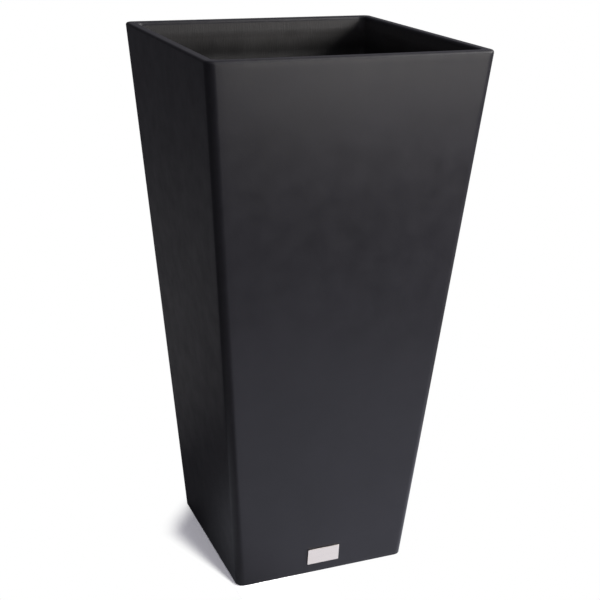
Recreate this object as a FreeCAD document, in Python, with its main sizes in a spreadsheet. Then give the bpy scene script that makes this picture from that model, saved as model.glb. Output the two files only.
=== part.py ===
import FreeCAD, Part
import Sketcher
import math
import os

# A tall square planter that widens towards its rim, in millimetres, with +Z up.
# The origin is the middle of the foot, on the floor. The face with the plate looks along -Y.
# One drafted fibreglass moulding carries everything else: a ribbed insert shelf wedges in
# its taper, four rubber plugs close its drain holes and a bare metal plate is taped to its face.

sizes = {
    # the fibreglass moulding
    "height": (762, "floor to the top of the rim"),
    "rimWidth": (388, "outside of the moulding, measured at the rim"),
    "footWidth": (262, "outside of the moulding, measured at the floor"),
    "cornerRadius": (12, "upright outside corners"),
    "wall": (5, "laminate thickness, measured level"),
    "innerCorner": (10, "upright inside corners"),
    "rimLip": (14, "width of the thick rim seen from above"),
    "rimDepth": (20, "depth of the thick rim before it thins"),
    "rimTaper": (30, "height over which the rim thins down to the wall"),
    "rimEdge": (3.5, "rounding of both top edges"),
    "rimUnderEdge": (30, "rounding where the rim starts to thin"),
    "rimBlend": (40, "hollow rounding where the thinning rim meets the wall"),
    "baseRecess": (12, "floor to the underside of the base panel"),
    "basePanel": (6, "thickness of the base panel"),
    "footRing": (11, "width of the ring that stands on the floor"),
    "recessDraft": (8, "lean of the sides of the hollow under the base, in degrees"),
    "recessCorner": (8, "upright corners of the hollow under the base"),
    "footEdge": (1.5, "rounding of the ring's outer edge"),
    "baseFillet": (6, "rounding where the base panel meets the walls"),
    # drain holes and their plugs
    "drainSpacing": (130, "between neighbouring drain holes"),
    "drainHole": (20, "diameter of a drain hole"),
    "seatDepth": (1.5, "depth of the round seat for a plug's flange"),
    "plugFlange": (32, "diameter of a plug's flange"),
    "plugGap": (0.3, "between a plug and the wall of its hole and seat"),
    "flangeThick": (3, "thickness of a plug's flange"),
    "plugReach": (3, "how far a plug reaches below the base panel"),
    "gripWidth": (17, "width of a plug's grip"),
    "gripThick": (5, "thickness of a plug's grip"),
    "gripTall": (10, "height of a plug's grip above the flange"),
    "gripCorner": (4, "rounding of the grip's upper corners"),
    # the insert shelf
    "shelfDrop": (305, "rim to the top of the shelf"),
    "shelfSkirt": (28, "height of the shelf's skirt, top to bottom"),
    "shelfPanel": (3.5, "thickness of the shelf's top panel"),
    "shelfWall": (3.2, "thickness of the shelf's skirt"),
    "shelfGap": (0.3, "between the skirt and the walls it wedges on"),
    "cellCount": (5, "ribbed cells along each side of the shelf"),
    "ribThick": (3, "thickness of a rib"),
    "ribDepth": (9, "how far the ribs reach below the top panel"),
    "slotCount": (3, "drain slots in each cell"),
    "slotSpace": (13, "between neighbouring slots of a cell, middle to middle"),
    "slotWide": (5, "width of a drain slot"),
    "slotLong": (38, "length of a drain slot"),
    "fingerWide": (38, "width of a finger hole"),
    "fingerLong": (52, "length of a finger hole"),
    "fingerCorner": (10, "corner radius of a finger hole"),
    # the plate on the front
    "plateWide": (49, "width of the plate"),
    "plateTall": (25.5, "height of the plate"),
    "plateThick": (1.2, "thickness of the plate"),
    "plateCorner": (1.0, "corner radius of the plate"),
    "plateBevel": (0.5, "bevel round the plate's face"),
    "plateLevel": (29, "floor to the middle of the plate, measured upright"),
    "tapeThick": (0.8, "thickness of the tape behind the plate"),
    "tapeInset": (2, "how far the tape stays inside the plate's edge"),
}

doc = FreeCAD.newDocument("TallPlanter")
sheet = doc.addObject("Spreadsheet::Sheet", "Sizes")
for row, (alias, (size, meaning)) in enumerate(sizes.items(), start=1):
    sheet.set("A%d" % row, meaning)
    sheet.set("B%d" % row, str(size))
    sheet.setAlias("B%d" % row, alias)
doc.recompute()


def value(expression):
    """The number that an expression of the sheet's sizes comes to."""
    return float(sheet.evalExpression(expression))


# Levels and widths that several pieces share, as expressions of the sheet's sizes.
slope = "((Sizes.rimWidth - Sizes.footWidth) / 2 / Sizes.height)"
floorLevel = "(Sizes.baseRecess + Sizes.basePanel)"
seatLevel = "(%s - Sizes.seatDepth)" % floorLevel
shelfTop = "(Sizes.height - Sizes.shelfDrop)"
shelfFoot = "(%s - Sizes.shelfSkirt)" % shelfTop
panelUnderside = "(%s - Sizes.shelfPanel)" % shelfTop


def outerSide(level):
    """Outside width of the moulding at a level."""
    return "(Sizes.footWidth + 2 * %s * %s)" % (slope, level)


def cavitySide(level):
    """Inside width of the moulding at a level, below the thick rim."""
    return "(%s - 2 * Sizes.wall)" % outerSide(level)


def mouthSide(level):
    """Inside width of the thick rim at a level."""
    return "(%s - 2 * Sizes.rimLip)" % outerSide(level)


def recessSide(level):
    """Width of the hollow under the base at a level."""
    return "(Sizes.footWidth - 2 * Sizes.footRing - 2 * %s * tan(Sizes.recessDraft))" % level


def shelfSide(level):
    """Outside width of the shelf's skirt at a level."""
    return "(%s - 2 * Sizes.shelfGap)" % cavitySide(level)


def hollowSide(level):
    """Inside width of the shelf's skirt at a level."""
    return "(%s - 2 * Sizes.shelfWall)" % shelfSide(level)


shelfClear = hollowSide(panelUnderside)
pitch = "(%s / Sizes.cellCount)" % shelfClear


def newBody(name):
    body = doc.addObject("PartDesign::Body", name)
    body.Label = name
    return body


def origin(body, role):
    """One of a body's own origin planes or axes."""
    return next(item for item in body.Origin.OriginFeatures if item.Role == role)


def newSketch(body, name, plane="XY_Plane", shift=("0", "0", "0")):
    """An empty sketch on a plane of its body, shifted along the sketch's own axes."""
    sketch = body.newObject("Sketcher::SketchObject", name)
    sketch.AttachmentSupport = [(origin(body, plane), "")]
    sketch.MapMode = "FlatFace"
    for axis, expression in zip("xyz", shift):
        sketch.setExpression(".AttachmentOffset.Base." + axis, expression)
    return sketch


def drive(sketch, name, constraint, expression):
    """Adds a named constraint whose size follows an expression."""
    index = sketch.addConstraint(constraint)
    sketch.renameConstraint(index, name)
    sketch.setExpression("Constraints." + name, expression)


def roundedRectangle(sketch, width, depth, corner):
    """Four lines and four equal arcs, centred on the sketch's origin."""
    r = value(corner)
    x = value(width) / 2 - r
    y = value(depth) / 2 - r
    quarter = math.pi / 2
    corners = [(x, -y, 3), (x, y, 0), (-x, y, 1), (-x, -y, 2)]
    edges = [((-x, -y - r), (x, -y - r)), ((x + r, -y), (x + r, y)),
             ((x, y + r), (-x, y + r)), ((-x - r, y), (-x - r, -y))]
    for (start, end), (cx, cy, turns) in zip(edges, corners):
        sketch.addGeometry(Part.LineSegment(FreeCAD.Vector(*start, 0), FreeCAD.Vector(*end, 0)))
        circle = Part.Circle(FreeCAD.Vector(cx, cy, 0), FreeCAD.Vector(0, 0, 1), r)
        sketch.addGeometry(Part.ArcOfCircle(circle, turns * quarter, (turns + 1) * quarter))
    for line in (0, 2, 4, 6):
        arc = line + 1
        sketch.addConstraint(Sketcher.Constraint("Tangent", line, 2, arc, 1))
        sketch.addConstraint(Sketcher.Constraint("Tangent", arc, 2, (arc + 1) % 8, 1))
        sketch.addConstraint(Sketcher.Constraint("Horizontal" if line % 4 == 0 else "Vertical", line))
    for arc in (3, 5, 7):
        sketch.addConstraint(Sketcher.Constraint("Equal", 1, arc))
    sketch.addConstraint(Sketcher.Constraint("Symmetric", 7, 3, 3, 3, -1, 1))
    drive(sketch, "Corner", Sketcher.Constraint("Radius", 1, r), corner)
    drive(sketch, "Width", Sketcher.Constraint("DistanceX", 7, 3, 1, 3, 2 * x),
          "%s - 2 * %s" % (width, corner))
    drive(sketch, "Depth", Sketcher.Constraint("DistanceY", 1, 3, 3, 3, 2 * y),
          "%s - 2 * %s" % (depth, corner))


def frustum(body, kind, name, low, high, side, topSide=None):
    """A square block standing between two levels, as wide as side() says at each of them.

    The width at the upper level may follow another function, topSide().
    """
    feature = body.newObject("PartDesign::" + kind, name)
    feature.AttachmentSupport = [(origin(body, "XZ_Plane"), "")]
    feature.MapMode = "FlatFace"
    feature.setExpression("Ymin", low)
    feature.setExpression("Ymax", high)
    for end, width in (("", side(low)), ("2", (topSide or side)(high))):
        for axis in "XZ":
            feature.setExpression("%s%smin" % (axis, end), "-%s / 2" % width)
            feature.setExpression("%s%smax" % (axis, end), "%s / 2" % width)
    doc.recompute()
    return feature


def closedOutline(sketch, points):
    """Straight lines through points, each given by two expressions."""
    places = [FreeCAD.Vector(value(x), value(y), 0) for x, y in points]
    last = len(points) - 1
    for index, place in enumerate(places):
        follower = places[0] if index == last else places[index + 1]
        sketch.addGeometry(Part.LineSegment(place, follower))
    for index, (x, y) in enumerate(points):
        sketch.addConstraint(Sketcher.Constraint("Coincident", index, 1, index - 1 if index else last, 2))
        for axis, expression, place in (("X", x, places[index].x), ("Y", y, places[index].y)):
            if expression == "0":
                line = -2 if axis == "X" else -1
                sketch.addConstraint(Sketcher.Constraint("PointOnObject", index, 1, line))
            else:
                drive(sketch, "Point%d%s" % (index, axis),
                      Sketcher.Constraint("Distance" + axis, -1, 1, index, 1, place), expression)


def rectangle(sketch, width, depth):
    """Four lines, centred on the sketch's origin."""
    signs = (("-", "-"), ("", "-"), ("", ""), ("-", ""))
    closedOutline(sketch, [(x + width + " / 2", y + depth + " / 2") for x, y in signs])


def pad(body, name, sketch, length, midplane=False):
    feature = body.newObject("PartDesign::Pad", name)
    feature.Profile = sketch
    feature.Midplane = midplane
    feature.setExpression("Length", length)
    return feature


def edgesBetween(shape, low, high, inside=None, outside=None, along=None):
    """Names of the edges that reach from one level to another.

    They may also have to lie within or beyond a distance from the axis, along X or Y,
    or to run along the axis that is named.
    """
    names = []
    for index, edge in enumerate(shape.Edges, start=1):
        box = edge.BoundBox
        reach = max(abs(box.XMin), abs(box.XMax), abs(box.YMin), abs(box.YMax))
        if abs(box.ZMin - low) > 0.01 or abs(box.ZMax - high) > 0.01:
            continue
        if along and getattr(box, along + "Length") < 0.9 * edge.Length:
            continue
        if (inside is None or reach < inside) and (outside is None or reach > outside):
            names.append("Edge%d" % index)
    return names


def edgesAt(shape, level, inside=None, outside=None, along=None):
    return edgesBetween(shape, level, level, inside, outside, along)


def edgesRising(shape, level):
    """Names of the edges that start at a level and rise from it."""
    return ["Edge%d" % index for index, edge in enumerate(shape.Edges, start=1)
            if abs(edge.BoundBox.ZMin - level) < 0.01 and edge.BoundBox.ZLength > 0.01]


def soften(body, kind, name, base, edges, size):
    """A fillet or chamfer on named edges of the feature before it."""
    feature = body.newObject("PartDesign::" + kind, name)
    feature.Base = (base, edges)
    feature.setExpression("Radius" if kind == "Fillet" else "Size", size)
    doc.recompute()
    return feature


def circleSketch(body, name, diameter, shift):
    sketch = newSketch(body, name, shift=shift)
    radius = value(diameter) / 2
    sketch.addGeometry(Part.Circle(FreeCAD.Vector(0, 0, 0), FreeCAD.Vector(0, 0, 1), radius))
    sketch.addConstraint(Sketcher.Constraint("Coincident", 0, 3, -1, 1))
    drive(sketch, "Radius", Sketcher.Constraint("Radius", 0, radius), "%s / 2" % diameter)
    return sketch


def buildShell():
    """The moulding: drafted walls, thick rim, raised base panel and its drain holes."""
    body = newBody("planter_shell")
    height = "Sizes.height"
    lipFoot = "(Sizes.height - Sizes.rimDepth)"
    taperFoot = "(%s - Sizes.rimTaper)" % lipFoot

    walls = frustum(body, "AdditiveWedge", "Walls", "0", height, outerSide)
    edges = edgesBetween(walls.Shape, 0, value(height))
    soften(body, "Fillet", "Corners", walls, edges, "Sizes.cornerRadius")

    # The inside: the wall, the thinning rim and the thick rim, joined by two wide roundings.
    frustum(body, "SubtractiveWedge", "Cavity", floorLevel, taperFoot, cavitySide)
    frustum(body, "SubtractiveWedge", "Taper", taperFoot, lipFoot, cavitySide, mouthSide)
    mouth = frustum(body, "SubtractiveWedge", "Mouth", lipFoot, height, mouthSide)
    bluntest = "0.7 * Sizes.rimTaper ^ 2 / (Sizes.rimLip - Sizes.wall)"
    blend = soften(body, "Fillet", "RimBlend", mouth, edgesAt(mouth.Shape, value(taperFoot)),
                   "min(Sizes.rimBlend; %s)" % bluntest)
    under = soften(body, "Fillet", "RimUnderEdge", blend, edgesAt(blend.Shape, value(lipFoot)),
                   "min(Sizes.rimUnderEdge; %s)" % bluntest)
    soften(body, "Fillet", "InnerCorners", under, edgesRising(under.Shape, value(floorLevel)),
           "Sizes.innerCorner")

    recess = frustum(body, "SubtractiveWedge", "Recess", "0", "Sizes.baseRecess", recessSide)
    edges = edgesBetween(recess.Shape, 0, value("Sizes.baseRecess"))
    soften(body, "Fillet", "RecessCorners", recess, edges, "Sizes.recessCorner")

    half = "Sizes.drainSpacing / 2"
    hole = body.newObject("PartDesign::Hole", "DrainHole")
    hole.Profile = circleSketch(body, "DrainCentre", "Sizes.drainHole", (half, half, floorLevel))
    doc.recompute()
    hole.DepthType = "ThroughAll"
    hole.setExpression("Diameter", "Sizes.drainHole")
    hole.HoleCutType = "Counterbore"
    hole.HoleCutCustomValues = True
    hole.setExpression("HoleCutDiameter", "Sizes.plugFlange + 2 * Sizes.plugGap")
    hole.setExpression("HoleCutDepth", "Sizes.seatDepth")
    holes = body.newObject("PartDesign::PolarPattern", "DrainHoles")
    holes.Originals = [hole]
    holes.Axis = (origin(body, "Z_Axis"), [""])
    holes.Angle = 360
    holes.Occurrences = 4
    body.Tip = holes
    doc.recompute()

    beyondHoles = value("(Sizes.drainSpacing + Sizes.plugFlange) / 2 + Sizes.plugGap") + 1
    edges = edgesAt(holes.Shape, value(floorLevel), outside=beyondHoles)
    base = soften(body, "Fillet", "BaseFillet", holes, edges,
                  "min(Sizes.baseFillet; 0.7 * Sizes.innerCorner)")
    rim = soften(body, "Fillet", "RimEdges", base, edgesAt(base.Shape, value(height)),
                 "min(Sizes.rimEdge; 0.4 * Sizes.rimLip)")
    edges = edgesAt(rim.Shape, 0, outside=value("(Sizes.footWidth - Sizes.footRing) / 2"))
    soften(body, "Fillet", "FootEdge", rim, edges, "min(Sizes.footEdge; 0.4 * Sizes.footRing)")
    return body


def buildShelf():
    """The insert: a tapered skirt, a slotted panel and crossing ribs under it."""
    body = newBody("insert_shelf")
    corner = "(Sizes.innerCorner - Sizes.shelfGap)"
    skirt = frustum(body, "AdditiveWedge", "Skirt", shelfFoot, shelfTop, shelfSide)
    edges = edgesBetween(skirt.Shape, value(shelfFoot), value(shelfTop))
    soften(body, "Fillet", "SkirtCorners", skirt, edges, corner)
    hollow = frustum(body, "SubtractiveWedge", "Hollow", shelfFoot, panelUnderside, hollowSide)
    edges = edgesBetween(hollow.Shape, value(shelfFoot), value(panelUnderside))
    soften(body, "Fillet", "HollowCorners", hollow, edges, "%s - Sizes.shelfWall" % corner)

    # Each rib runs from the middle of one skirt wall to the middle of the opposite one.
    ribFoot = "(%s - Sizes.ribDepth)" % panelUnderside
    ribTop = "(%s + Sizes.shelfPanel / 2)" % panelUnderside
    footReach = "((%s - Sizes.shelfWall) / 2)" % shelfSide(ribFoot)
    topReach = "((%s - Sizes.shelfWall) / 2)" % shelfSide(ribTop)
    for plane, direction, sign in (("XZ_Plane", "Y_Axis", ""), ("YZ_Plane", "X_Axis", "-")):
        firstRib = "%s%s * (Sizes.cellCount / 2 - 1)" % (sign, pitch)
        rib = newSketch(body, "RibOutline" + plane[:2], plane, ("0", "0", firstRib))
        closedOutline(rib, [("-" + footReach, ribFoot), (footReach, ribFoot),
                            (topReach, ribTop), ("-" + topReach, ribTop)])
        first = pad(body, "Rib" + plane[:2], rib, "Sizes.ribThick", midplane=True)
        row = body.newObject("PartDesign::LinearPattern", "Ribs" + plane[:2])
        row.Originals = [first]
        row.Direction = (origin(body, direction), [""])
        row.setExpression("Length", "%s * (Sizes.cellCount - 2)" % pitch)
        row.setExpression("Occurrences", "Sizes.cellCount - 1")
        body.Tip = row
        doc.recompute()

    farCell = "%s * (Sizes.cellCount - 1) / 2" % pitch
    slotSpread = "Sizes.slotSpace * (Sizes.slotCount - 1)"
    firstSlot = "-%s - %s / 2" % (farCell, slotSpread)
    outline = newSketch(body, "SlotOutline", shift=(firstSlot, "-" + farCell, shelfTop))
    rectangle(outline, "Sizes.slotWide", "Sizes.slotLong")
    slot = body.newObject("PartDesign::Pocket", "Slot")
    slot.Profile = outline
    slot.Type = "ThroughAll"
    doc.recompute()
    rows = []
    for name, direction, length, count in (("SlotsOfCell", "X_Axis", slotSpread, "Sizes.slotCount"),
                                           ("CellsX", "X_Axis", "2 * " + farCell, "Sizes.cellCount"),
                                           ("CellsY", "Y_Axis", "2 * " + farCell, "Sizes.cellCount")):
        row = doc.addObject("PartDesign::LinearPattern", name)
        row.Direction = (origin(body, direction), [""])
        row.setExpression("Length", length)
        row.setExpression("Occurrences", count)
        rows.append(row)
    grid = body.newObject("PartDesign::MultiTransform", "Slots")
    grid.Originals = [slot]
    grid.Transformations = rows
    body.Tip = grid
    doc.recompute()

    finger = newSketch(body, "FingerOutline", shift=(farCell, "0", shelfTop))
    roundedRectangle(finger, "Sizes.fingerWide", "Sizes.fingerLong", "Sizes.fingerCorner")
    fingerHole = body.newObject("PartDesign::Pocket", "FingerHole")
    fingerHole.Profile = finger
    fingerHole.Type = "ThroughAll"
    doc.recompute()
    pair = body.newObject("PartDesign::Mirrored", "FingerHoles")
    pair.Originals = [fingerHole]
    pair.MirrorPlane = (origin(body, "YZ_Plane"), [""])
    body.Tip = pair
    doc.recompute()
    return body


def buildPlug(name, sideX, sideY):
    """A turned rubber stopper with an upright grip, standing in one drain hole."""
    body = newBody(name)
    stem = "(Sizes.drainHole / 2 - Sizes.plugGap)"
    tip = "(Sizes.basePanel - Sizes.seatDepth + Sizes.plugReach)"
    half = newSketch(body, "HalfSection", "XZ_Plane")
    closedOutline(half, [("0", "-" + tip), (stem, "-" + tip), (stem, "0"), ("Sizes.plugFlange / 2", "0"),
                         ("Sizes.plugFlange / 2", "Sizes.flangeThick"), ("0", "Sizes.flangeThick")])
    turned = body.newObject("PartDesign::Revolution", "Stopper")
    turned.Profile = half
    turned.ReferenceAxis = (half, ["V_Axis"])
    turned.Angle = 360
    doc.recompute()

    gripTop = "(Sizes.flangeThick + Sizes.gripTall)"
    outline = newSketch(body, "GripOutline", "XZ_Plane")
    closedOutline(outline, [("-Sizes.gripWidth / 2", "0"), ("Sizes.gripWidth / 2", "0"),
                            ("Sizes.gripWidth / 2", gripTop), ("-Sizes.gripWidth / 2", gripTop)])
    grip = pad(body, "Grip", outline, "Sizes.gripThick", midplane=True)
    doc.recompute()
    soften(body, "Fillet", "GripCorners", grip, edgesAt(grip.Shape, value(gripTop), along="Y"),
           "min(Sizes.gripCorner; 0.45 * Sizes.gripWidth; 0.9 * Sizes.gripTall)")
    for axis, side in (("x", sideX), ("y", sideY)):
        body.setExpression(".Placement.Base." + axis, "%d * Sizes.drainSpacing / 2" % side)
    body.setExpression(".Placement.Base.z", seatLevel)
    return body


def onFrontFace(body):
    """Lays a body's XY plane on the leaning front face, with its own +Y up the face."""
    body.Placement = FreeCAD.Placement(FreeCAD.Vector(0, 0, 0), FreeCAD.Rotation(FreeCAD.Vector(1, 0, 0), 90))
    body.setExpression(".Placement.Rotation.Angle", "90 deg + atan(%s)" % slope)
    body.setExpression(".Placement.Base.y", "-%s / 2" % outerSide("Sizes.plateLevel"))
    body.setExpression(".Placement.Base.z", "Sizes.plateLevel")


def buildTape():
    """The double-sided tape that holds the plate."""
    body = newBody("plate_tape")
    outline = newSketch(body, "TapeOutline")
    roundedRectangle(outline, "(Sizes.plateWide - 2 * Sizes.tapeInset)",
                     "(Sizes.plateTall - 2 * Sizes.tapeInset)", "Sizes.plateCorner")
    pad(body, "Tape", outline, "Sizes.tapeThick")
    onFrontFace(body)
    return body


def buildPlate():
    """The bare metal plate, with a bevel round its face."""
    body = newBody("front_plate")
    outline = newSketch(body, "PlateOutline", shift=("0", "0", "Sizes.tapeThick"))
    roundedRectangle(outline, "Sizes.plateWide", "Sizes.plateTall", "Sizes.plateCorner")
    plate = pad(body, "Plate", outline, "Sizes.plateThick")
    doc.recompute()
    face = edgesAt(plate.Shape, value("Sizes.tapeThick + Sizes.plateThick"))
    soften(body, "Chamfer", "FaceBevel", plate, face, "Sizes.plateBevel")
    onFrontFace(body)
    return body


bodies = [buildShell(), buildShelf()]
for name, sideX, sideY in (("drain_plug_front_left", -1, -1), ("drain_plug_front_right", 1, -1),
                           ("drain_plug_back_left", -1, 1), ("drain_plug_back_right", 1, 1)):
    bodies.append(buildPlug(name, sideX, sideY))
bodies += [buildTape(), buildPlate()]
doc.recompute()

for item in doc.Objects:
    if "Invalid" in item.State or "Error" in item.State:
        raise RuntimeError("%s failed: %s" % (item.Label, item.State))
for body in bodies:
    if body.Shape.isNull() or not body.Shape.isValid() or len(body.Shape.Solids) != 1:
        raise RuntimeError("%s is not one valid solid" % body.Label)

os.makedirs("parts", exist_ok=True)
for body in bodies:
    body.Shape.exportStep("parts/%s.step" % body.Label)
    box = body.Shape.BoundBox
    print("%-24s %10.1f mm3  x %7.1f %7.1f  y %7.1f %7.1f  z %7.1f %7.1f"
          % (body.Label, body.Shape.Volume, box.XMin, box.XMax, box.YMin, box.YMax, box.ZMin, box.ZMax))
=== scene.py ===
import math

import bmesh
import bpy
import numpy as np
from mathutils import Matrix, Vector


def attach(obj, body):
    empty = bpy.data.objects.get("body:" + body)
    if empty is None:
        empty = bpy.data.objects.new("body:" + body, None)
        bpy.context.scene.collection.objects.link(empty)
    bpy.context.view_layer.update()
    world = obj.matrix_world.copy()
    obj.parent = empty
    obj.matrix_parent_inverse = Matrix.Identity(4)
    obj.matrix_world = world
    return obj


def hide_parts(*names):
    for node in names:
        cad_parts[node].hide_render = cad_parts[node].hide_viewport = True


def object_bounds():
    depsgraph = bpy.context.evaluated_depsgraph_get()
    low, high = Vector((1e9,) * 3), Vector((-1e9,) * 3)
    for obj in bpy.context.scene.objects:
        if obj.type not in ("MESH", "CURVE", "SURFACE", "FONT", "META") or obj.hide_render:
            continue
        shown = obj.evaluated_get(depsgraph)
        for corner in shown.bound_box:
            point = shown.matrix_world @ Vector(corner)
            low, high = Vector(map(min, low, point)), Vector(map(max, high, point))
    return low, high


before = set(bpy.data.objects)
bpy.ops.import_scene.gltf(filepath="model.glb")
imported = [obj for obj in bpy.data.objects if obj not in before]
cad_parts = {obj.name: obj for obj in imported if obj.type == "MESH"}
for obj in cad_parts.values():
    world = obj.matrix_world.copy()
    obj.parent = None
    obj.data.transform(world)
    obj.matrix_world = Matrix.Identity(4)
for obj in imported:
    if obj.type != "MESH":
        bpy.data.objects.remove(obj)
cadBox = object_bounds()

# Outline of the planter, in metres. Widths are outside widths, measured level.
planter = {
    "height": cadBox[1].z,
    "rimWidth": 0.388,
    "footWidth": 0.262,
    "cornerRadius": 0.012,
    "wall": 0.005,
    "innerCorner": 0.010,
}
slope = (planter["rimWidth"] - planter["footWidth"]) / 2 / planter["height"]
lean = math.atan(slope)
tiny = 1e-6  # lengths below this are rounding errors


def outerHalf(level):
    return planter["footWidth"] / 2 + slope * level


def innerHalf(level):
    return outerHalf(level) - planter["wall"]


# Gives a node's inputs numbers, colours or other nodes' outputs. An input goes by its name, or by
# its number with an i before it.
def setInputs(tree, node, inputs):
    for key, value in inputs.items():
        socket = node.inputs[int(key[1:]) if key[1:].isdigit() else key]
        if isinstance(value, bpy.types.NodeSocket):
            tree.links.new(value, socket)
        else:
            socket.default_value = value


def addNode(tree, kind, settings=None, **inputs):
    node = tree.nodes.new("ShaderNode" + kind)
    for key, value in (settings or {}).items():
        setattr(node, key, value)
    setInputs(tree, node, inputs)
    return node


def newMaterial(name, specular=0.5, metallic=0.0):
    material = bpy.data.materials.new(name)
    material.use_nodes = True
    tree = material.node_tree
    shader = tree.nodes["Principled BSDF"]
    setInputs(tree, shader, {"Specular IOR Level": specular, "Metallic": metallic})
    return material, tree, shader


def objectPlace(tree):
    return addNode(tree, "TexCoord").outputs["Object"]


def noise(tree, place, settings):
    scale, detail, roughness = settings
    node = addNode(tree, "TexNoise", Vector=place, Scale=scale, Detail=detail, Roughness=roughness)
    return node.outputs[0]


# Straight rescaling of a value from one range to another.
def rescale(tree, value, low, high, toLow=0.0, toHigh=1.0):
    return addNode(tree, "MapRange", i0=value, i1=low, i2=high, i3=toLow, i4=toHigh).outputs[0]


# Soft rescaling: 1 on the first value's side, 0 beyond the second.
def fall(tree, value, stops):
    node = addNode(tree, "MapRange", {"interpolation_type": "SMOOTHSTEP"},
                   i0=value, i1=stops[0], i2=stops[1], i3=1.0, i4=0.0)
    return node.outputs[0]


def combine(tree, operation, first, second):
    return addNode(tree, "Math", {"operation": operation}, i0=first, i1=second).outputs[0]


def multiply(tree, first, second):
    return combine(tree, "MULTIPLY", first, second)


def blendColours(tree, factor, *colours):
    first, second = (c if isinstance(c, bpy.types.NodeSocket) else (*c, 1) for c in colours)
    return addNode(tree, "Mix", {"data_type": "RGBA"}, i0=factor, i6=first, i7=second).outputs[2]


def addBump(tree, shader, height, bump, below=None):
    strength, distance = bump
    node = addNode(tree, "Bump", Height=height, Strength=strength, Distance=distance)
    if below:
        tree.links.new(below, node.inputs["Normal"])
    tree.links.new(node.outputs[0], shader.inputs["Normal"])
    return node.outputs[0]


# In the finishes a noise is (scale per metre, detail, roughness), levels are the values that
# become 0 and 1, and a bump is (strength, height in metres).
gelcoat = {
    "dark": (0.0100, 0.0096, 0.0126),
    "light": (0.0154, 0.0148, 0.0192),
    "clouds": (5.0, 4, 0.6),
    "mottle": (34.0, 4, 0.6),
    "grain": (700.0, 2, 0.55),
    "shares": (0.62, 0.26, 0.12),  # of these three in the tone
    "toneLevels": (0.36, 0.64),
    "worn": (0.026, 0.026, 0.027),
    "scuffs": (90.0, 5, 0.7),
    "scuffLevels": (0.42, 0.72),
    "specular": 0.36,
    "roughness": (0.31, 0.39),
    "roughLevels": (0.3, 0.7),
    "edgeRoughness": 0.66,
    "grainBump": (0.10, 0.0004),
    "mottleBump": (0.10, 0.002),
}


def gelcoatMaterial():
    material, tree, shader = newMaterial("charcoalGelcoat", gelcoat["specular"])
    place = objectPlace(tree)
    clouds, mottle, grain = (noise(tree, place, gelcoat[k]) for k in ("clouds", "mottle", "grain"))
    parts = [multiply(tree, *pair) for pair in zip((clouds, mottle, grain), gelcoat["shares"])]
    tone = combine(tree, "ADD", combine(tree, "ADD", parts[0], parts[1]), parts[2])
    tone = rescale(tree, tone, *gelcoat["toneLevels"])
    colour = blendColours(tree, tone, gelcoat["dark"], gelcoat["light"])
    wear = addNode(tree, "Attribute", {"attribute_name": "wear"}).outputs["Fac"]
    scuffs = rescale(tree, noise(tree, place, gelcoat["scuffs"]), *gelcoat["scuffLevels"])
    colour = blendColours(tree, multiply(tree, wear, scuffs), colour, gelcoat["worn"])
    rough = rescale(tree, mottle, *gelcoat["roughLevels"], *gelcoat["roughness"])
    rough = combine(tree, "MAXIMUM", rough, multiply(tree, wear, gelcoat["edgeRoughness"]))
    setInputs(tree, shader, {"Base Color": colour, "Roughness": rough})
    fine = addBump(tree, shader, grain, gelcoat["grainBump"])
    addBump(tree, shader, mottle, gelcoat["mottleBump"], fine)
    return material


laminate = {
    "resin": (0.0150, 0.0147, 0.0146),
    "strand": (0.0240, 0.0235, 0.0232),
    "strandAngles": (12, 63, 118, 161),  # degrees
    "strandScale": (520.0, 34.0),  # across and along a strand, per metre
    "strandShift": (3.7, 1.9),  # from one direction's noise to the next
    "strandNoise": (1.0, 2, 0.55),
    "crestLevels": (0.56, 0.70),
    "pools": (14.0, 4, 0.6),
    "bareLevels": (0.40, 0.62),
    "paintedLightBand": (0.057, 0.0553, 0.0543),  # painted light: a lighter band over the taper under the rim
    "paintedLightHeights": (0.714, 0.742),
    "paintedLightLevels": (0.25, 0.55),
    "paintedLightShares": (0.65, 1.0),  # how much of it shows at those levels of the pools
    "overlap": (0.030, 0.0290, 0.0288),  # gelcoat brushed over the mouth
    "overlapHeights": (0.734, 0.744),
    "specular": 0.35,
    "roughness": (0.42, 0.62),
    "roughLevels": (0.35, 0.65),
    "strandBump": (0.22, 0.0005),
    "poolBump": (0.25, 0.003),
}


# Chopped strands: noise stretched along several directions, with only its crests kept.
def laminateMaterial():
    material, tree, shader = newMaterial("rawLaminate", laminate["specular"])
    wallPlace = addNode(tree, "UVMap", {"uv_map": "wallMap"}).outputs[0]
    place = objectPlace(tree)
    strands = None
    for number, degrees in enumerate(laminate["strandAngles"]):
        shift = [number * step for step in laminate["strandShift"]]
        turned = addNode(tree, "Mapping", Vector=wallPlace, Rotation=(0, 0, math.radians(degrees)),
                         Scale=(*laminate["strandScale"], 1), Location=(*shift, 0)).outputs[0]
        crest = noise(tree, turned, laminate["strandNoise"])
        crest = rescale(tree, crest, *laminate["crestLevels"])
        strands = combine(tree, "MAXIMUM", strands, crest) if strands else crest
    pools = noise(tree, place, laminate["pools"])
    bare = multiply(tree, strands, rescale(tree, pools, *laminate["bareLevels"]))
    colour = blendColours(tree, bare, laminate["resin"], laminate["strand"])
    level = addNode(tree, "SeparateXYZ", Vector=place).outputs["Z"]
    # Painted light: a blotchy lighter band over the taper under the rim, between these heights.
    paintedLightBand = rescale(tree, level, *laminate["paintedLightHeights"])
    patches = rescale(tree, pools, *laminate["paintedLightLevels"], *laminate["paintedLightShares"])
    colour = blendColours(tree, multiply(tree, paintedLightBand, patches), colour, laminate["paintedLightBand"])
    brushed = rescale(tree, level, *laminate["overlapHeights"])
    colour = blendColours(tree, brushed, colour, laminate["overlap"])
    rough = rescale(tree, pools, *laminate["roughLevels"], *laminate["roughness"])
    setInputs(tree, shader, {"Base Color": colour, "Roughness": rough})
    fine = addBump(tree, shader, strands, laminate["strandBump"])
    addBump(tree, shader, pools, laminate["poolBump"], fine)
    return material


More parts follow.
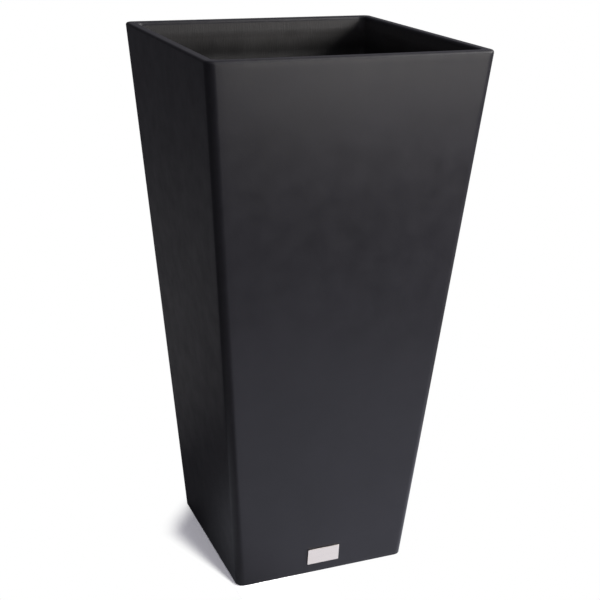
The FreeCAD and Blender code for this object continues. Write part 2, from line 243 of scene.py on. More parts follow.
plastic = {
    "dark": (0.016, 0.016, 0.0175),
    "light": (0.027, 0.027, 0.029),
    "broad": (11.0, 3, 0.55),
    "toneLevels": (0.35, 0.65),
    "specular": 0.3,
    "roughness": (0.50, 0.64),
    "roughLevels": (0.3, 0.7),
    "grain": (900.0, 2, 0.55),
    "grainBump": (0.15, 0.0003),
}


def mouldedPlastic():
    material, tree, shader = newMaterial("mouldedPolypropylene", plastic["specular"])
    place = objectPlace(tree)
    broad = noise(tree, place, plastic["broad"])
    tone = rescale(tree, broad, *plastic["toneLevels"])
    colour = blendColours(tree, tone, plastic["dark"], plastic["light"])
    rough = rescale(tree, broad, *plastic["roughLevels"], *plastic["roughness"])
    setInputs(tree, shader, {"Base Color": colour, "Roughness": rough})
    addBump(tree, shader, noise(tree, place, plastic["grain"]), plastic["grainBump"])
    return material


rubber = {
    "clean": (0.012, 0.012, 0.0125),
    "dusty": (0.034, 0.033, 0.031),
    "dust": (160.0, 4, 0.65),
    "dustLevels": (0.48, 0.72),
    "specular": 0.3,
    "roughness": (0.62, 0.85),  # clean and dusty
    "grain": (1400.0, 2, 0.55),
    "grainBump": (0.2, 0.0002),
}


def softRubber():
    material, tree, shader = newMaterial("softRubber", rubber["specular"])
    place = objectPlace(tree)
    dust = rescale(tree, noise(tree, place, rubber["dust"]), *rubber["dustLevels"])
    colour = blendColours(tree, dust, rubber["clean"], rubber["dusty"])
    rough = rescale(tree, dust, 0, 1, *rubber["roughness"])
    setInputs(tree, shader, {"Base Color": colour, "Roughness": rough})
    addBump(tree, shader, noise(tree, place, rubber["grain"]), rubber["grainBump"])
    return material


foam = {
    "dark": (0.05, 0.05, 0.05),
    "light": (0.14, 0.14, 0.14),
    "cells": 2600.0,  # per metre
    "cellLevels": (0.1, 0.6),
    "cellBump": (0.5, 0.0002),
    "specular": 0.2,
    "roughness": 0.9,
}


def foamTape():
    material, tree, shader = newMaterial("foamTape", foam["specular"])
    cells = addNode(tree, "TexVoronoi", Vector=objectPlace(tree), Scale=foam["cells"])
    cells = cells.outputs["Distance"]
    tone = rescale(tree, cells, *foam["cellLevels"])
    colour = blendColours(tree, tone, foam["dark"], foam["light"])
    setInputs(tree, shader, {"Base Color": colour, "Roughness": foam["roughness"]})
    addBump(tree, shader, cells, foam["cellBump"])
    return material


metal = {
    "dark": (0.84, 0.77, 0.70),
    "light": (0.89, 0.82, 0.745),
    "streakScale": (24.0, 4200.0, 4200.0),  # along the brushing and across it, per metre
    "streaks": (1.0, 3, 0.6),
    "streakLevels": (0.3, 0.7),
    "roughness": (0.27, 0.34),
    "clouds": (60.0, 3, 0.55),
    "cloudLevels": (0.3, 0.7),
    "cloudRoughness": (-0.02, 0.02),
    "streakBump": (0.08, 0.0002),
}


# Streaks of brushing run across the plate: noise squeezed up the face and stretched along it.
def brushedMetal():
    material, tree, shader = newMaterial("brushedAluminium", metallic=1.0)
    place = objectPlace(tree)
    squeezed = addNode(tree, "Mapping", Vector=place, Scale=metal["streakScale"]).outputs[0]
    streaks = noise(tree, squeezed, metal["streaks"])
    tone = rescale(tree, streaks, *metal["streakLevels"])
    colour = blendColours(tree, tone, metal["dark"], metal["light"])
    rough = rescale(tree, streaks, *metal["streakLevels"], *metal["roughness"])
    clouds = noise(tree, place, metal["clouds"])
    clouds = rescale(tree, clouds, *metal["cloudLevels"], *metal["cloudRoughness"])
    rough = combine(tree, "ADD", rough, clouds)
    setInputs(tree, shader, {"Base Color": colour, "Roughness": rough})
    addBump(tree, shader, streaks, metal["streakBump"])
    return material


finishes = {
    "gelcoat": gelcoatMaterial(),
    "laminate": laminateMaterial(),
    "plastic": mouldedPlastic(),
    "rubber": softRubber(),
    "foam": foamTape(),
    "metal": brushedMetal(),
}
print("finishes:", ", ".join(finishes))


# One side of a rounded square, from corner middle to corner middle, turned to all four sides.
# A point of a ring is (half - radius) * centre + radius * arc, with these two arrays.
def ringFrame(sideSteps, cornerSteps):
    turn = np.linspace(-math.pi / 4, 0, cornerSteps + 1)[:-1]
    ends = np.ones(cornerSteps)
    along = np.concatenate([-ends, np.linspace(-1, 1, sideSteps + 1), ends])
    angle = np.concatenate([turn, np.zeros(sideSteps + 1), -turn[::-1]])
    centre = np.stack([np.ones_like(along), along], 1)
    arc = np.stack([np.cos(angle), np.sin(angle)], 1)
    turns = []
    for quarter in np.arange(4) * math.pi / 2:
        cosine, sine = math.cos(quarter), math.sin(quarter)
        turns.append(np.array([[cosine, sine], [-sine, cosine]]))
    return {
        "centre": np.stack([centre @ t for t in turns]),
        "arc": np.stack([arc @ t for t in turns]),
        "along": along,
        "angle": angle,
        "columns": 4 * (len(along) - 1),
    }


# Quads between stacked closed rings, and fans that close the first and last ring on one point.
def ringFaces(rings, columns):
    index = 1 + np.arange((rings - 2) * columns).reshape(rings - 2, columns)
    following = np.roll(index, -1, 1)
    quads = np.stack([index[:-1], following[:-1], following[1:], index[1:]], -1).reshape(-1, 4)
    foot = np.stack([np.zeros(columns, int), following[0], index[0]], -1)
    crown = np.stack([index[-1], following[-1], np.full(columns, index[-1, -1] + 1)], -1)
    return quads, foot, crown


# A closed skin over rings of points, given as an array of rings x columns x 3.
def ringSkin(name, rings):
    count, columns = rings.shape[:2]
    points = np.vstack([rings[0].mean(0), rings[1:-1].reshape(-1, 3), rings[-1].mean(0)])
    quads, foot, crown = ringFaces(count, columns)
    mesh = bpy.data.meshes.new(name)
    mesh.from_pydata(points.tolist(), [], quads.tolist() + foot.tolist() + crown.tolist())
    mesh.update()
    return mesh


# Points of a circle about the origin, from +x.
def circlePoints(columns):
    turn = np.linspace(0, 2 * math.pi, columns, endpoint=False)
    return np.stack([np.cos(turn), np.sin(turn)], -1)


def showPiece(name, mesh, body, material=None):
    if material:
        mesh.materials.clear()
        mesh.materials.append(material)
    piece = bpy.data.objects.new(name, mesh)
    bpy.context.scene.collection.objects.link(piece)
    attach(piece, body)
    return piece


def shadeSmooth(mesh, sharpDegrees):
    mesh.polygons.foreach_set("use_smooth", np.ones(len(mesh.polygons), bool))
    mesh.set_sharp_from_angle(angle=math.radians(sharpDegrees))


def applyModifiers(piece):
    shown = piece.evaluated_get(bpy.context.evaluated_depsgraph_get())
    mesh = bpy.data.meshes.new_from_object(shown)
    piece.modifiers.clear()
    piece.data = mesh


# Rows of (half, level, planRadius) along a line of stops, each with a rounding of its own and a
# number of steps to the next. A rounding is an arc tangent to both legs: it starts at
# rounding * tan(bend / 2) before its stop, and its point at heading h is the start
# + rounding * (sin h - sin h0, cos h0 - cos h), with the sign of the bend.
def roundedProfile(stops, arcSteps):
    stops = np.array(stops, float)
    corners, rounding, steps = stops[:, :3], stops[:, 3], stops[:, 4].astype(int)
    legs = np.diff(corners, axis=0)
    lengths = np.hypot(legs[:, 0], legs[:, 1])
    heading = np.arctan2(legs[:, 1], legs[:, 0])
    bend = np.zeros(len(stops))
    bend[1:-1] = (np.diff(heading) + math.pi) % (2 * math.pi) - math.pi
    reach = rounding * np.tan(np.abs(bend) / 2)
    starts, ends = corners.copy(), corners.copy()
    starts[1:] -= legs * (reach[1:] / lengths)[:, None]
    ends[:-1] += legs * (reach[:-1] / lengths)[:, None]
    rows = []
    for i in range(len(stops)):
        if rounding[i]:
            share = np.linspace(0, 1, arcSteps + 1)
            turned = heading[i - 1] + bend[i] * share
            radius = rounding[i] * np.sign(bend[i])
            half = starts[i, 0] + radius * (np.sin(turned) - np.sin(turned[0]))
            level = starts[i, 1] + radius * (np.cos(turned[0]) - np.cos(turned))
            width = ends[i, 0] - starts[i, 0]
            if abs(width) > tiny:
                share = (half - starts[i, 0]) / width
            planRadius = starts[i, 2] + (ends[i, 2] - starts[i, 2]) * share
            rows.append(np.stack([half, level, planRadius], 1))
        else:
            rows.append(corners[i:i + 1])
        if i + 1 < len(stops):
            share = np.linspace(0, 1, steps[i] + 1)[1:-1, None]
            rows.append(ends[i] + (starts[i + 1] - ends[i]) * share)
    return np.vstack(rows)


# 1 well inside a range, 0 at its ends, with a soft step of the given width at each.
def window(value, low, high, width):
    share = np.clip(np.minimum(value - low, high - value) / width, 0, 1)
    return share * share * (3 - 2 * share)


shell = {
    "rimLip": 0.014,  # width of the thick rim, seen from above
    "rimDepth": 0.020,
    "rimTaper": 0.030,  # height over which it thins down to the wall
    "rimEdge": 0.0035,  # roundings, down the profile
    "rimUnderEdge": 0.030,
    "rimBlend": 0.040,
    "baseFillet": 0.006,
    "footEdge": 0.0015,
    "baseRecess": 0.012,
    "basePanel": 0.006,
    "footRing": 0.011,
    "recessDraft": math.radians(8),
    "recessCorner": 0.008,
    "hair": 0.0004,  # between a rounding and the flat after it
    "wave": 0.00035,  # deepest hollow in the outside faces
    "waveFade": (0.05, 0.03, 0.12),  # from the foot, from the rim, and the width of the step
    "ripple": 0.0005,  # deepest hollow in the laminate inside
    "rippleFade": (0.03, 0.03, 0.03),
    "cornerFade": 0.05,  # both die away towards the corners
    "arcSteps": 8,
    "sideSteps": 36,
    "cornerSteps": 6,  # in each half corner
    "mapShift": 0.6,  # of the strands' map, from one side to the next
    "sharp": 38,  # degrees
    "drainSpacing": 0.130,
    "drainHole": 0.020,
    "seatWidth": 0.0326,
    "seatDepth": 0.0015,
    "drainColumns": 64,
    "drillReach": 0.003,  # how far a cutter stands out of the base panel
}
panelTop = shell["baseRecess"] + shell["basePanel"]


# Profile of the moulding, from the middle of the base's underside out to the foot, up the
# outside, over the rim, down the inside and in to the middle of the base panel. Each stop is
# (half, level, plan radius, rounding, steps to the next).
def shellProfile():
    height, corner, inner = planter["height"], planter["cornerRadius"], planter["innerCorner"]
    recess, recessCorner = shell["baseRecess"], shell["recessCorner"]
    lipFoot = height - shell["rimDepth"]
    taperFoot = lipFoot - shell["rimTaper"]
    ringInside = outerHalf(0) - shell["footRing"]
    recessTop = ringInside - recess * math.tan(shell["recessDraft"])
    mouth = outerHalf(height) - shell["rimLip"]
    mouthFoot = outerHalf(lipFoot) - shell["rimLip"]

    # A stop beside a rounding keeps the ring's corners concentric.
    def aside(half, radius, size):
        return half + size, radius + size

    footFlat = aside(outerHalf(0), corner, -shell["footEdge"] - shell["hair"])
    rimOut = aside(outerHalf(height), corner, -shell["rimEdge"] - shell["hair"])
    rimIn = aside(mouth, inner, shell["rimEdge"] + shell["hair"])
    panelOut = aside(innerHalf(panelTop), inner, -shell["baseFillet"] - shell["hair"])
    return roundedProfile([
        (0, recess, 0, 0, 10),
        (recessTop, recess, recessCorner, 0, 3),
        (ringInside, 0, recessCorner, 0, 3),
        (footFlat[0], 0, footFlat[1], 0, 1),
        (outerHalf(0), 0, corner, shell["footEdge"], 110),
        (outerHalf(height), height, corner, shell["rimEdge"], 1),
        (rimOut[0], height, rimOut[1], 0, 5),
        (rimIn[0], height, rimIn[1], 0, 1),
        (mouth, height, inner, shell["rimEdge"], 6),
        (mouthFoot, lipFoot, inner, shell["rimUnderEdge"], 8),
        (innerHalf(taperFoot), taperFoot, inner, shell["rimBlend"], 90),
        (innerHalf(panelTop), panelTop, inner, shell["baseFillet"], 1),
        (panelOut[0], panelTop, panelOut[1], 0, 12),
        (0, panelTop, 0, 0, 1),
    ], shell["arcSteps"])


# The moulding as rings over that profile. The outside faces are hollowed by a few slow waves and
# the laminate inside by a finer ripple, always into the material: offset along the ring's normal
# = depth * window * (1 + waves) / 2. The waves are sines of place, with rates in radians per
# metre, and their sum is divided by its largest value.
def buildShell():
    rows = shellProfile()
    ring = ringFrame(shell["sideSteps"], shell["cornerSteps"])
    half, level, radius = (rows[:, i, None, None] for i in range(3))
    flat = (half - radius)[..., None] * ring["centre"] + radius[..., None] * ring["arc"]
    across = (half - radius) * ring["along"] + radius * ring["angle"]
    across = np.broadcast_to(across, flat.shape[:3])  # rows x 4 sides x points of a side
    height = planter["height"]
    top = int(np.argmax(rows[:, 1] >= height - tiny))
    inside = np.arange(len(rows))[:, None, None] > top
    side = np.arange(4)[None, :, None]
    slow = (np.sin(17 * across + 1.3 * side) * np.sin(9 * level + 2.1 * side + 0.4)
            + 0.6 * np.sin(31 * across - 13 * level + side)
            + 0.4 * np.sin(26 * level + 3 * side)) / 2
    fine = (np.sin(61 * across + 40 * level + side) + np.sin(97 * level - 35 * across + 2 * side)
            + 0.7 * np.sin(170 * across + 2.0 * side) * np.sin(140 * level)) / 2.7

    def hollow(depth, waves, fade):
        low, high, width = fade
        return depth * (waves + 1) / 2 * window(level, low, height - high, width)

    outward = hollow(shell["wave"], slow, shell["waveFade"])
    inward = hollow(shell["ripple"], fine, shell["rippleFade"])
    shift = np.where(inside, inward, -outward) * window(across, -half, half, shell["cornerFade"])
    flat = flat + shift[..., None] * ring["arc"]
    points = np.concatenate([flat, np.broadcast_to(level[..., None], flat.shape[:3] + (1,))], -1)
    mesh = ringSkin("planterShell", points[:, :, :-1].reshape(len(rows), ring["columns"], 3))
    markShell(mesh, rows, across, ring, top)
    piece = showPiece("planterShell", mesh, "planter")
    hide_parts("planter_shell")
    drillShell(piece)
    shadeSmooth(piece.data, shell["sharp"])


wear = {
    "rimDrop": 0.0015,  # how far below the top it is highest
    "rimFade": 0.004,
    "rimReach": 0.03,  # in from the outside
    "footFade": 0.006,
    "footShare": 0.8,
    "cornerShare": 0.35,
    "cornerTightness": 2.2,
}


# Two finishes by row, a map of distance along the wall and along the profile, and a wear value
# that is highest on the rim's and the foot's edges.
def markShell(mesh, rows, across, ring, top):
    height, columns = planter["height"], ring["columns"]
    halves, levels = rows[:, 0], rows[:, 1]
    mesh.materials.append(finishes["gelcoat"])
    mesh.materials.append(finishes["laminate"])
    inside = (np.arange(len(rows)) > top) & (levels < height - shell["rimEdge"])
    raw = inside | (levels == shell["baseRecess"])
    quadRaw = np.repeat(raw[1:-2], columns)
    material = np.concatenate([quadRaw, np.ones(2 * columns)]).astype(np.int32)
    mesh.polygons.foreach_set("material_index", material)

    travel = np.concatenate([[0], np.cumsum(np.hypot(*np.diff(rows[:, :2], axis=0).T))])
    left = across[:, :, :-1].reshape(len(rows), columns)
    right = across[:, :, 1:].reshape(len(rows), columns)
    step = np.repeat(np.arange(4), columns // 4) * shell["mapShift"]
    u = np.stack([left[1:-2], right[1:-2], right[2:-1], left[2:-1]], -1) + step[None, :, None]
    below, above = travel[1:-2], travel[2:-1]
    v = np.broadcast_to(np.stack([below, below, above, above], -1)[:, None], u.shape)
    quads = np.stack([u, v], -1).reshape(-1, 2)
    fans = np.zeros((len(mesh.loops) - len(quads), 2))
    layer = mesh.uv_layers.new(name="wallMap")
    layer.data.foreach_set("uv", np.vstack([quads, fans]).astype(np.float32).ravel())

    outside = np.arange(len(rows)) <= top
    rim = np.exp(-np.abs(height - wear["rimDrop"] - levels) / wear["rimFade"])
    rim = rim * (np.abs(halves - outerHalf(height)) < wear["rimReach"])
    foot = wear["footShare"] * (np.exp(-levels / wear["footFade"]) * outside)
    turned = 1 - np.abs(ring["angle"][:-1]) / (math.pi / 4)
    corner = np.tile(np.exp(-(turned * wear["cornerTightness"]) ** 2), 4)
    corner = wear["cornerShare"] * corner[None, :] * outside[:, None]
    worn = np.maximum(np.maximum(rim, foot)[:, None], corner)
    values = np.concatenate([[0], worn[1:-1].ravel(), [0]]).astype(np.float32)
    mesh.attributes.new("wear", "FLOAT", "POINT").data.foreach_set("value", values)


# The four drain holes and the plugs' seats around them: stepped cutters of rings of a circle.
def drillShell(piece):
    low, high = shell["baseRecess"] - shell["drillReach"], panelTop + shell["drillReach"]
    hole, wide, seat = shell["drainHole"] / 2, shell["seatWidth"] / 2, panelTop - shell["seatDepth"]
    stops = np.array([(0, low), (hole, low), (hole, seat), (wide, seat), (wide, high), (0, high)])
    halves, levels = (stops[:, i, None, None] for i in range(2))
    circle = circlePoints(shell["drainColumns"])
    cutters = []
    for x in (-1, 1):
        for y in (-1, 1):
            middle = np.array([x, y]) * shell["drainSpacing"] / 2
            heights = np.broadcast_to(levels, (len(stops), len(circle), 1))
            mesh = ringSkin("cutter", np.concatenate([halves * circle + middle, heights], -1))
            mesh.materials.append(finishes["gelcoat"])
            mesh.materials.append(finishes["laminate"])
            mesh.polygons.foreach_set("material_index", np.ones(len(mesh.polygons), np.int32))
            cutter = bpy.data.objects.new("cutter", mesh)
            bpy.context.scene.collection.objects.link(cutter)
            cutters.append(cutter)
            drill = piece.modifiers.new("drill", "BOOLEAN")
            drill.operation = "DIFFERENCE"
            drill.solver = "EXACT"
            drill.object = cutter
    applyModifiers(piece)
    for cutter in cutters:
        bpy.data.objects.remove(cutter)


buildShell()


shelf = {
    "merge": 2e-6,  # corners of triangles that are nearer than this are one
    "flat": 1,  # degrees, below which triangles merge into one face
    "edge": 0.0005,
    "edgeAngle": 35,  # degrees, above which an edge is rounded
    "edgeSteps": 2,
    "normalWeight": 100,  # how strongly large faces keep their own normals
    "sharp": 40,
}


# A copy of the node with its triangles merged into flat faces and its edges rounded. The large
# faces then keep their own normals, and the rounded edges take up the turn.
def buildShelf():
    work = bmesh.new()
    work.from_mesh(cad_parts["insert_shelf"].data)
    bmesh.ops.remove_doubles(work, verts=work.verts, dist=shelf["merge"])
    bmesh.ops.dissolve_limit(work, angle_limit=math.radians(shelf["flat"]), verts=work.verts,
                             edges=work.edges)
    mesh = bpy.data.meshes.new("insertShelf")
    work.to_mesh(mesh)
    work.free()
    piece = showPiece("insertShelf", mesh, "shelf", finishes["plastic"])
    bevel = piece.modifiers.new("edge", "BEVEL")
    bevel.width = shelf["edge"]
    bevel.segments = shelf["edgeSteps"]
    bevel.limit_method = "ANGLE"
    bevel.angle_limit = math.radians(shelf["edgeAngle"])
    applyModifiers(piece)
    shadeSmooth(piece.data, shelf["sharp"])
    weigh = piece.modifiers.new("weigh", "WEIGHTED_NORMAL")
    weigh.mode = "FACE_AREA"
    weigh.weight = shelf["normalWeight"]
    weigh.keep_sharp = True
    applyModifiers(piece)
    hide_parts("insert_shelf")


buildShelf()


plug = {
    "stem": 0.0097,  # half widths
    "flange": 0.016,
    "thick": 0.003,
    "tip": 0.0075,  # how far the stem reaches below the seat
    "edge": 0.0008,
    "arcSteps": 4,
    "flangeStep": 0.001,  # between the flange's rounding and the passage to the grip
    "passage": (0.3, 0.6, 0.85, 1.0),
    "gripHalf": (0.0085, 0.0025),
    "gripTall": 0.010,
    "gripFoot": 0.001,  # fillet at its foot
    "gripFootSteps": (0.0003, 0.0),
    "gripCorner": 0.004,
    "gripSquareness": 5.0,
    "gripTop": 0.0012,  # height over which it thins
    "gripThinning": 0.45,
    "gripSteps": 9,
    "columns": 96,
    "sharp": 45,
}


# A stopper from one skin of rings. Below, each ring is a circle. On the flange they pass over
# into the grip's outline, a superellipse |x/a|^n + |y/b|^n = 1, which then narrows to its top.
def plugRings(middle, seat):
    circle = circlePoints(plug["columns"])
    stem, flange, thick, tip, edge = (plug[k] for k in ("stem", "flange", "thick", "tip", "edge"))
    lower = roundedProfile([
        (0, -tip, 0, 0, 3),
        (stem, -tip, 0, edge, 4),
        (stem, 0, 0, 0, 3),
        (flange, 0, 0, edge, 1),
        (flange, thick, 0, edge, 1),
        (flange - plug["flangeStep"], thick, 0, 0, 1),
    ], plug["arcSteps"])

    def ringAt(points, level):
        return np.hstack([points, np.full((len(points), 1), level)])

    def gripRing(halfX, halfY, level):
        power = plug["gripSquareness"]
        reach = np.abs(circle[:, 0] / halfX) ** power + np.abs(circle[:, 1] / halfY) ** power
        return ringAt(circle * (reach ** (-1 / power))[:, None], level)

    rings = [ringAt(circle * half, level) for half, level, _ in lower]
    a, b = plug["gripHalf"]
    foot = plug["gripFoot"]
    root = gripRing(a + foot, b + foot, thick)
    rings += [rings[-1] + (root - rings[-1]) * share for share in plug["passage"]]
    rings += [gripRing(a + grow, b + grow, thick + foot - grow) for grow in plug["gripFootSteps"]]
    corner, top = plug["gripCorner"], thick + plug["gripTall"]
    for angle in np.linspace(0, math.pi / 2, plug["gripSteps"]):
        level = top - corner + corner * math.sin(angle)
        soft = max(0.0, 1 - (top - level) / plug["gripTop"])
        thinner = b * (1 - plug["gripThinning"] * soft ** 2)
        rings.append(gripRing(a - corner + corner * math.cos(angle), thinner, level))
    rings.append(rings[-1] * np.array([0, 0, 1]))
    return np.stack(rings) + np.array([*middle, seat])


def buildPlugs():
    for sideY, end in ((-1, "Front"), (1, "Back")):
        for sideX, hand in ((-1, "Left"), (1, "Right")):
            name, place = "drainPlug" + end + hand, end.lower() + "_" + hand.lower()
            middle = np.array([sideX, sideY]) * shell["drainSpacing"] / 2
            mesh = ringSkin(name, plugRings(middle, panelTop - shell["seatDepth"]))
            shadeSmooth(mesh, plug["sharp"])
            piece = showPiece(name, mesh, "plug_" + place, finishes["rubber"])
            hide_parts("drain_plug_" + place)


buildPlugs()
print("plugs: 4")


plate = {
    "wide": 0.049,
    "tall": 0.0255,
    "thick": 0.0012,
    "corner": 0.001,
    "backEdge": 0.0002,
    "bevel": 0.0003,
    "bevelLine": ((0, 1), (0.35, 0.45), (1, 0.06), (1.3, 0)),  # in and down, times the bevel
    "inner": 0.6,  # size of the face's innermost ring
    "steps": (24, 4),  # along a side and in each half corner
    "sharp": 20,
    "level": 0.029,  # height of its middle on the wall
    "tape": 0.0008,
}


# Rounded rectangles stacked outwards from the back: back face, edge, bevel, face. A point (x, y,
# z) of the plate then goes to x along the wall, y up it and z out of it.
def buildPlate():
    wide, tall, corner = plate["wide"] / 2, plate["tall"] / 2, plate["corner"]
    back, front = plate["tape"], plate["tape"] + plate["thick"]
    backEdge, bevel, inner = plate["backEdge"], plate["bevel"], plate["inner"]
    edge = [(wide - bevel * inset, tall - bevel * inset, corner, front - bevel * drop)
            for inset, drop in plate["bevelLine"]]
    # half width, half height, corner radius, height above the wall
    stack = np.array([
        (0, 0, 0, back),
        (wide - backEdge, tall - backEdge, corner, back),
        (wide, tall, corner, back + backEdge),
        *edge,
        (wide * inner, tall * inner, corner, front),
        (0, 0, 0, front),
    ])
    ring = ringFrame(*plate["steps"])
    radius = stack[:, 2, None, None, None]
    flat = (stack[:, None, None, :2] - radius) * ring["centre"] + radius * ring["arc"]
    level = np.broadcast_to(stack[:, 3, None, None, None], flat.shape[:3] + (1,))
    rings = np.concatenate([flat, level], -1)[:, :, :-1].reshape(len(stack), -1, 3)
    right = np.array([1, 0, 0])
    up = np.array([0, -math.sin(lean), math.cos(lean)])
    out = np.array([0, -math.cos(lean), -math.sin(lean)])
    middle = np.array([0, -outerHalf(plate["level"]), plate["level"]])
    rings = middle + rings[..., :1] * right + rings[..., 1:2] * up + rings[..., 2:] * out
    mesh = ringSkin("frontPlate", rings)
    shadeSmooth(mesh, plate["sharp"])
    piece = showPiece("frontPlate", mesh, "planter", finishes["metal"])
    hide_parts("front_plate")


buildPlate()
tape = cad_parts["plate_tape"]
tape.data.materials.clear()
tape.data.materials.append(finishes["foam"])
print("plate and tape")


studio = {
    "floorHalf": 6,
    "floorColour": (0.205, 0.205, 0.211),
    "floorCameraColour": (2.4, 2.4, 2.4),  # how the camera sees the floor in the shadow
    "shadowEdge": -0.131,  # x of the foot's left side, beside which the shadow is kept
    "shadowAlong": (-0.125, 0.045),  # between these y it widens from one width to the other
    "shadowWidth": (0.0025, 0.062),
    "shadowFade": (0.40, 1.10),  # it fades out between these shares of its width
    "shadowSlant": 1.2,  # how much sooner it ends at the back, farther from the foot
    "shadowBack": (0.075, 0.150),  # and between these y at the back
    "shadowUnder": (-0.10, 0.0),  # and between these x under the planter
    "shadowFront": (-0.20, -0.30),  # and between these y in front of it
    "shadowDepth": 0.92,
    # white paper in front of the planter and a weaker patch on the left, which the corner mirrors;
    # both glow for reflections only, as painted reflections
    "paperAndReflection": {"middle": (0.24, -0.36, 0), "size": (1.0, 0.97), "reach": (0.27, 0.50)},
    "side": {"middle": (-0.34, -0.10, 0), "size": (1.0, 1.3), "reach": (0.09, 0.25)},
    "sweepColour": (0.84, 0.86, 0.97),
    "sideReflectionGlow": 0.38,
    "ambientColour": (0.90, 0.88, 1.0),
    "ambientFrom": (0.75, -0.45, 0.48),  # the bright side
    "ambientTurn": (-0.6, 0.8),  # cosines between which it turns from dark to bright
    "ambientDark": 0.085,
    "ambientBright": 0.43,
}


def eitherRay(tree, first, second):
    path = addNode(tree, "LightPath").outputs
    return combine(tree, "MAXIMUM", path["Is %s Ray" % first], path["Is %s Ray" % second])


# 1 inside an ellipse on the floor and 0 beyond it, with a soft step between two shares of its size.
def patch(tree, middle, size, reach):
    offset = addNode(tree, "VectorMath", {"operation": "SUBTRACT"}, i0=objectPlace(tree), i1=middle)
    scaled = addNode(tree, "VectorMath", {"operation": "DIVIDE"}, i0=offset.outputs[0],
                     i1=(*size, 1))
    away = addNode(tree, "VectorMath", {"operation": "LENGTH"}, i0=scaled.outputs[0])
    return fall(tree, away.outputs["Value"], reach)


# A wedge beside the foot that widens from its front corner and ends softly at the back. It is
# where the camera sees the lit floor, with the planter's shadow on it.
def shadowWedge(tree):
    axes = addNode(tree, "SeparateXYZ", Vector=objectPlace(tree)).outputs
    aside = combine(tree, "SUBTRACT", studio["shadowEdge"], axes["X"])
    width = rescale(tree, axes["Y"], *studio["shadowAlong"], *studio["shadowWidth"])
    wedge = fall(tree, combine(tree, "DIVIDE", aside, width), studio["shadowFade"])
    slanted = combine(tree, "ADD", axes["Y"], multiply(tree, aside, studio["shadowSlant"]))
    wedge = multiply(tree, wedge, fall(tree, slanted, studio["shadowBack"]))
    wedge = multiply(tree, wedge, fall(tree, axes["X"], studio["shadowUnder"]))
    wedge = multiply(tree, wedge, fall(tree, axes["Y"], studio["shadowFront"]))
    return multiply(tree, wedge, studio["shadowDepth"])


# The floor is grey for the light that it passes on, apart from the paper. The camera sees it
# white, with the planter's shadow kept beside the foot. Glossy surfaces see the paper in front of
# the planter and a dimmer patch on its left glow, as painted reflections, though neither is a lamp.
def buildFloor():
    far = studio["floorHalf"]
    mesh = bpy.data.meshes.new("studioFloor")
    mesh.from_pydata([(-far, -far, 0), (far, -far, 0), (far, far, 0), (-far, far, 0)], [],
                     [(0, 1, 2, 3)])
    floor = bpy.data.objects.new("studioFloor", mesh)
    bpy.context.scene.collection.objects.link(floor)
    material = bpy.data.materials.new("studioFloor")
    material.use_nodes = True
    tree = material.node_tree
    tree.nodes.remove(tree.nodes["Principled BSDF"])
    paperAndReflection = patch(tree, **studio["paperAndReflection"])
    side = multiply(tree, patch(tree, **studio["side"]), studio["sideReflectionGlow"])
    glow = combine(tree, "MAXIMUM", paperAndReflection, side)
    # painted reflections: the paper and the side patch glow for glossy and transmission rays only
    glow = multiply(tree, eitherRay(tree, "Glossy", "Transmission"), glow)
    ground = blendColours(tree, paperAndReflection, studio["floorColour"], studio["sweepColour"])
    plain = addNode(tree, "BsdfDiffuse", Color=ground).outputs[0]
    lifted = addNode(tree, "BsdfDiffuse", Color=(*studio["floorCameraColour"], 1)).outputs[0]
    white = addNode(tree, "Emission", Strength=1.0).outputs[0]
    paintedReflection = addNode(tree, "Emission", Color=(*studio["sweepColour"], 1), Strength=1.0).outputs[0]
    seen = addNode(tree, "MixShader", i0=shadowWedge(tree), i1=white, i2=lifted).outputs[0]
    other = addNode(tree, "MixShader", i0=glow, i1=plain, i2=paintedReflection).outputs[0]
    direct = addNode(tree, "LightPath").outputs["Is Camera Ray"]
    both = addNode(tree, "MixShader", i0=direct, i1=other, i2=seen).outputs[0]
    tree.links.new(both, tree.nodes["Material Output"].inputs["Surface"])
    mesh.materials.append(material)


# White for the camera. For every other ray, dim on the left of the planter and brighter in front
# and on the right, as in a studio with its lamps on that side.
def buildWorld():
    world = bpy.data.worlds.new("studio")
    bpy.context.scene.world = world
    world.use_nodes = True
    tree = world.node_tree
    heading = addNode(tree, "TexCoord").outputs["Generated"]
    towards = addNode(tree, "VectorMath", {"operation": "DOT_PRODUCT"}, i0=heading,
                      i1=Vector(studio["ambientFrom"]).normalized()).outputs["Value"]
    strength = rescale(tree, towards, *studio["ambientTurn"], studio["ambientDark"],
                       studio["ambientBright"])
    shown = eitherRay(tree, "Camera", "Transmission")
    strength = addNode(tree, "Mix", {"data_type": "FLOAT"}, i0=shown, i2=strength, i3=1.0)
    colour = blendColours(tree, shown, studio["ambientColour"], (1, 1, 1))
    setInputs(tree, tree.nodes["Background"], {"Color": colour, "Strength": strength.outputs[0]})


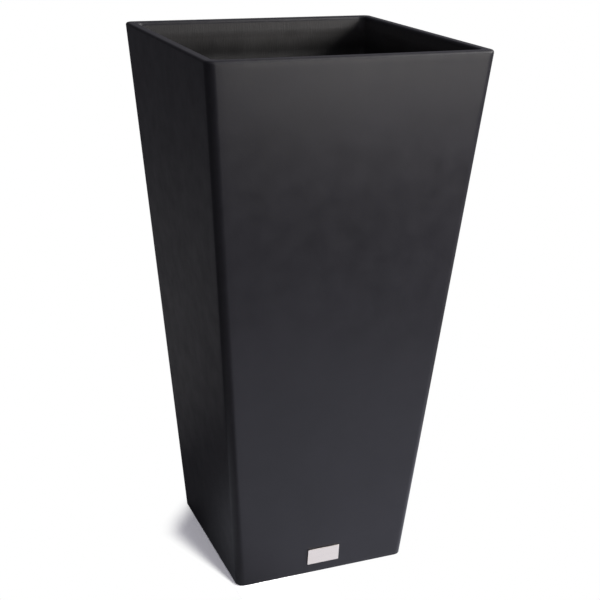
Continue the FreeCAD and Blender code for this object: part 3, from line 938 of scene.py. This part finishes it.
# Each lamp is a rectangle at a place, turned so that it looks at its target.
lamps = {
    "frontSoftbox": {
        "place": (0.21, -2.2, 0.80), "target": (0, -0.1, 0.40), "size": (0.35, 0.35),
        "power": 1.6, "colour": (1, 1, 1),
    },
    "rightSoftbox": {
        "place": (1.0, -1.5, 1.35), "target": (0, 0, 0.60), "size": (0.5, 0.4),
        "power": 5, "colour": (1, 0.97, 0.93),
    },
    "highSoftbox": {
        "place": (1.90, -1.00, 1.70), "target": (0, 0, 0.70), "size": (0.9, 1.0),
        "power": 76, "colour": (1, 0.98, 0.96),
    },
    "lowCard": {
        "place": (0.62, -0.95, 0.58), "target": (0.62, -0.19, 0.58), "size": (1.1, 0.32),
        "power": 3.5, "colour": (1, 0.97, 0.93),
    },
    "backSoftbox": {
        "place": (0.7, 1.9, 0.42), "target": (0, 0.15, 0.42), "size": (0.8, 0.6),
        "power": 9, "colour": (1, 1, 1),
    },
}


def buildLamps():
    for name, values in lamps.items():
        lamp = bpy.data.lights.new(name, "AREA")
        lamp.shape = "RECTANGLE"
        lamp.size, lamp.size_y = values["size"]
        lamp.energy = values["power"]
        lamp.color = values["colour"]
        holder = bpy.data.objects.new(name, lamp)
        holder.location = values["place"]
        holder.visible_camera = False
        holder.rotation_mode = "QUATERNION"
        look = Vector(values["target"]) - Vector(values["place"])
        holder.rotation_quaternion = look.to_track_quat("-Z", "Y")
        bpy.context.scene.collection.objects.link(holder)


camera = {
    "lens": 70.48,
    "sensor": 36.0,
    "clip": (0.05, 50),
    "azimuth": -22.372,
    "elevation": 20.144,
    "roll": 1.265,
    "aimAside": 0.0089,
    "aimHeight": 0.3800,
    "distance": 1.7203,
}


# The camera looks at a point near the planter's axis. Its own X and Y are the level right-hand
# direction and the one above it, turned by the roll.
def buildCamera():
    azimuth, elevation, roll = (math.radians(camera[k]) for k in ("azimuth", "elevation", "roll"))
    back = Vector((math.sin(azimuth) * math.cos(elevation),
                   -math.cos(azimuth) * math.cos(elevation), math.sin(elevation)))
    right = Vector((math.cos(azimuth), math.sin(azimuth), 0))
    up = back.cross(right)
    across = right * math.cos(roll) + up * math.sin(roll)
    above = up * math.cos(roll) - right * math.sin(roll)
    data = bpy.data.cameras.new("camera")
    data.lens, data.sensor_width = camera["lens"], camera["sensor"]
    data.clip_start, data.clip_end = camera["clip"]
    holder = bpy.data.objects.new("camera", data)
    aim = Vector((0, 0, camera["aimHeight"])) + right * camera["aimAside"]
    turned = Matrix((across, above, back)).transposed().to_4x4()
    holder.matrix_world = Matrix.Translation(aim + back * camera["distance"]) @ turned
    bpy.context.scene.collection.objects.link(holder)
    bpy.context.scene.camera = holder


buildFloor()
buildWorld()
buildLamps()
buildCamera()
bpy.context.scene.view_settings.view_transform = "Standard"
print("studio, lamps and camera")
